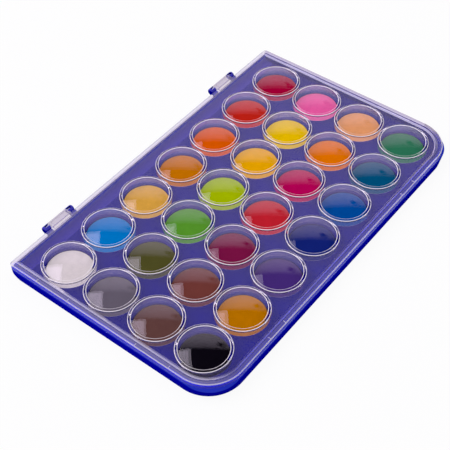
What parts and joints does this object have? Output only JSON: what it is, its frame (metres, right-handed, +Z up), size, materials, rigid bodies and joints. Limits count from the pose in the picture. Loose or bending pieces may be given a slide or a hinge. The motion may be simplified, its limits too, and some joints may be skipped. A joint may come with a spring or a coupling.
{
  "type": "watercolour paint box",
  "caption": "Flat plastic watercolour box: round paint cakes in a moulded tray under a clear hinged lid with ring skirts and domes.",
  "frame": {"origin": "on the resting plane, in the middle of the outline of the closed box with its hinges", "axes": "+X along the hinge line, +Y towards the hinge, +Z up out of the lid"},
  "size_m": [0.2028, 0.1296, 0.0107],
  "materials": {
    "blue_plastic": "satin moulded polypropylene",
    "clear_plastic": "clear moulded polystyrene",
    "white_paint": "pressed dry watercolour",
    "sky_blue_paint": "pressed dry watercolour",
    "naples_yellow_paint": "pressed dry watercolour",
    "golden_brown_paint": "pressed dry watercolour",
    "orange_paint": "pressed dry watercolour",
    "vermilion_paint": "pressed dry watercolour",
    "crimson_paint": "pressed dry watercolour",
    "grey_paint": "pressed dry watercolour",
    "olive_paint": "pressed dry watercolour",
    "green_paint": "pressed dry watercolour",
    "lime_paint": "pressed dry watercolour",
    "amber_paint": "pressed dry watercolour",
    "yellow_paint": "pressed dry watercolour",
    "pink_paint": "pressed dry watercolour",
    "dark_brown_paint": "pressed dry watercolour",
    "red_brown_paint": "pressed dry watercolour",
    "burgundy_paint": "pressed dry watercolour",
    "scarlet_paint": "pressed dry watercolour",
    "magenta_paint": "pressed dry watercolour",
    "light_orange_paint": "pressed dry watercolour",
    "peach_paint": "pressed dry watercolour",
    "black_paint": "pressed dry watercolour",
    "ochre_paint": "pressed dry watercolour",
    "purple_paint": "pressed dry watercolour",
    "navy_paint": "pressed dry watercolour",
    "blue_paint": "pressed dry watercolour",
    "teal_paint": "pressed dry watercolour",
    "emerald_paint": "pressed dry watercolour"
  },
  "bodies": {
    "tray": {"base_tray": "blue_plastic", "paint_cake_white": "white_paint", "paint_cake_sky_blue": "sky_blue_paint", "paint_cake_naples_yellow": "naples_yellow_paint", "paint_cake_golden_brown": "golden_brown_paint", "paint_cake_orange": "orange_paint", "paint_cake_vermilion": "vermilion_paint", "paint_cake_crimson": "crimson_paint", "paint_cake_grey": "grey_paint", "paint_cake_olive": "olive_paint", "paint_cake_green": "green_paint", "paint_cake_lime": "lime_paint", "paint_cake_amber": "amber_paint", "paint_cake_yellow": "yellow_paint", "paint_cake_pink": "pink_paint", "paint_cake_dark_brown": "dark_brown_paint", "paint_cake_red_brown": "red_brown_paint", "paint_cake_burgundy": "burgundy_paint", "paint_cake_scarlet": "scarlet_paint", "paint_cake_magenta": "magenta_paint", "paint_cake_light_orange": "light_orange_paint", "paint_cake_peach": "peach_paint", "paint_cake_black": "black_paint", "paint_cake_ochre": "ochre_paint", "paint_cake_purple": "purple_paint", "paint_cake_navy": "navy_paint", "paint_cake_blue": "blue_paint", "paint_cake_teal": "teal_paint", "paint_cake_emerald": "emerald_paint"},
    "lid": {"clear_lid": "clear_plastic"}
  },
  "joints": [
    {"name": "lid_hinge", "type": "hinge", "parent": "tray", "child": "lid", "pos_m": [0, 0.06302, 0.0064], "axis": [-1, 0, 0], "range_deg": [0, 180]}
  ]
}
